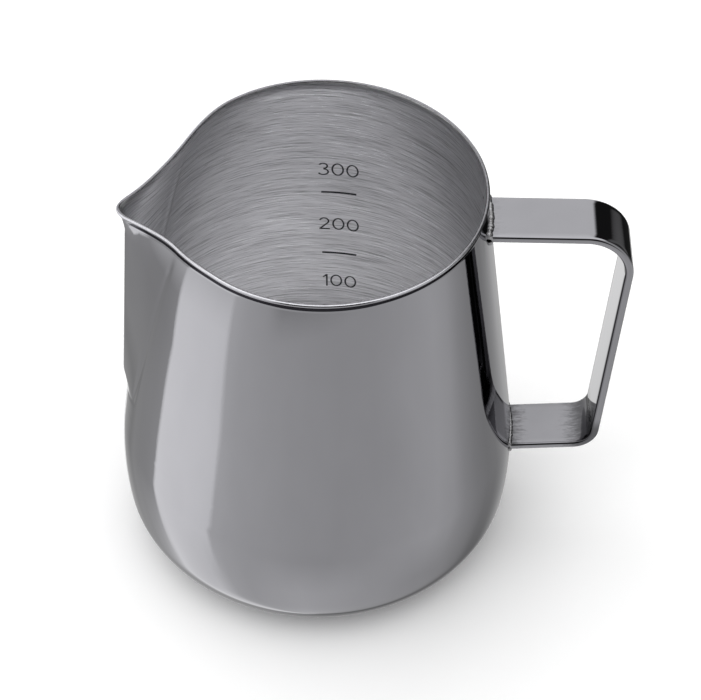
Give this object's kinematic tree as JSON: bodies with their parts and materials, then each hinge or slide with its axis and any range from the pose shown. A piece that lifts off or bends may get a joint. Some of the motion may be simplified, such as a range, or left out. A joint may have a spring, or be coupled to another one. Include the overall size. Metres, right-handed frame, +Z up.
{
  "type": "milk frothing pitcher",
  "caption": "Bellied steel pitcher with a pressed pouring spout, a flat strap loop handle welded on opposite the spout, and a brushed inside with filling marks.",
  "frame": {"origin": "middle of the standing ring, on the vessel axis", "axes": "+Z up along the vessel axis, +X towards the handle, -X towards the spout"},
  "size_m": [0.1093, 0.087, 0.0951],
  "materials": {
    "polished_steel": "mirror polished outside, brushed inside",
    "weld_metal": "rippled weld bead"
  },
  "bodies": {
    "root": {"body_shell": "polished_steel", "handle_strap": "polished_steel", "upper_weld_top": "weld_metal", "upper_weld_under": "weld_metal", "lower_weld_top": "weld_metal", "lower_weld_under": "weld_metal"}
  },
  "joints": []
}
